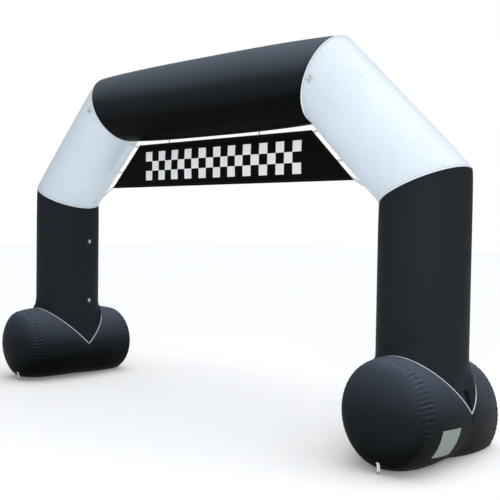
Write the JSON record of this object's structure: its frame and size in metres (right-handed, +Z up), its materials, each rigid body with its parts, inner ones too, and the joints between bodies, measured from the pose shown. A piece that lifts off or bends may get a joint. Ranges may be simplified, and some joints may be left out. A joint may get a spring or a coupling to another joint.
{
  "type": "inflatable event arch",
  "caption": "Free-standing inflated arch of sewn tubes, angled at the shoulders, on two barrel feet, with a plain banner tied under its beam.",
  "frame": {"origin": "middle of the ground under the arch, at the height on which the feet rest", "axes": "+X along the arch from the left leg to the right leg as seen from the front, +Y from the front to the back through the arch, +Z up"},
  "size_m": [6.0923, 1.646, 3.716],
  "materials": {
    "coated_black": "satin coated polyester",
    "coated_white": "satin coated polyester",
    "coated_slate": "satin coated polyester",
    "welt_white": "satin welt tape",
    "banner_black": "matt banner cloth",
    "webbing_white": "woven webbing",
    "patch_grey": "matt sewn patch",
    "ring_steel": "bright"
  },
  "bodies": {
    "root": {"anchor_ring_left_back": "ring_steel", "anchor_ring_left_front": "ring_steel", "anchor_ring_right_back": "ring_steel", "anchor_ring_right_front": "ring_steel", "anchor_tab_left_back": "webbing_white", "anchor_tab_left_front": "webbing_white", "anchor_tab_right_back": "webbing_white", "anchor_tab_right_front": "webbing_white", "banner": "banner_black", "beam": "coated_black", "diagonal_left": "coated_white", "diagonal_right": "coated_white", "foot_cap_left_back": "coated_slate", "foot_cap_left_front": "coated_slate", "foot_cap_right_back": "coated_slate", "foot_cap_right_front": "coated_slate", "foot_left": "coated_slate", "foot_right": "coated_slate", "label_patch": "patch_grey", "leg_left": "coated_black", "leg_right": "coated_black", "ring_front_left": "ring_steel", "ring_front_right": "ring_steel", "ring_loop_front_left": "webbing_white", "ring_loop_front_right": "webbing_white", "ring_loop_lower_left": "webbing_white", "ring_loop_lower_right": "webbing_white", "ring_loop_upper_left": "webbing_white", "ring_loop_upper_right": "webbing_white", "ring_lower_left": "ring_steel", "ring_lower_right": "ring_steel", "ring_patch_front_left": "patch_grey", "ring_patch_front_right": "patch_grey", "ring_patch_lower_left": "coated_black", "ring_patch_lower_right": "coated_black", "ring_patch_upper_left": "coated_black", "ring_patch_upper_right": "coated_black", "ring_upper_left": "ring_steel", "ring_upper_right": "ring_steel", "tie_lower_left": "webbing_white", "tie_lower_right": "webbing_white", "tie_middle_left": "webbing_white", "tie_middle_right": "webbing_white", "tie_top_left": "webbing_white", "tie_top_right": "webbing_white", "tie_upper_left": "webbing_white", "tie_upper_right": "webbing_white", "welt_beam_left": "welt_white", "welt_beam_right": "welt_white", "welt_foot_left": "welt_white", "welt_foot_right": "welt_white", "welt_knee_left": "welt_white", "welt_knee_right": "welt_white"}
  },
  "joints": []
}
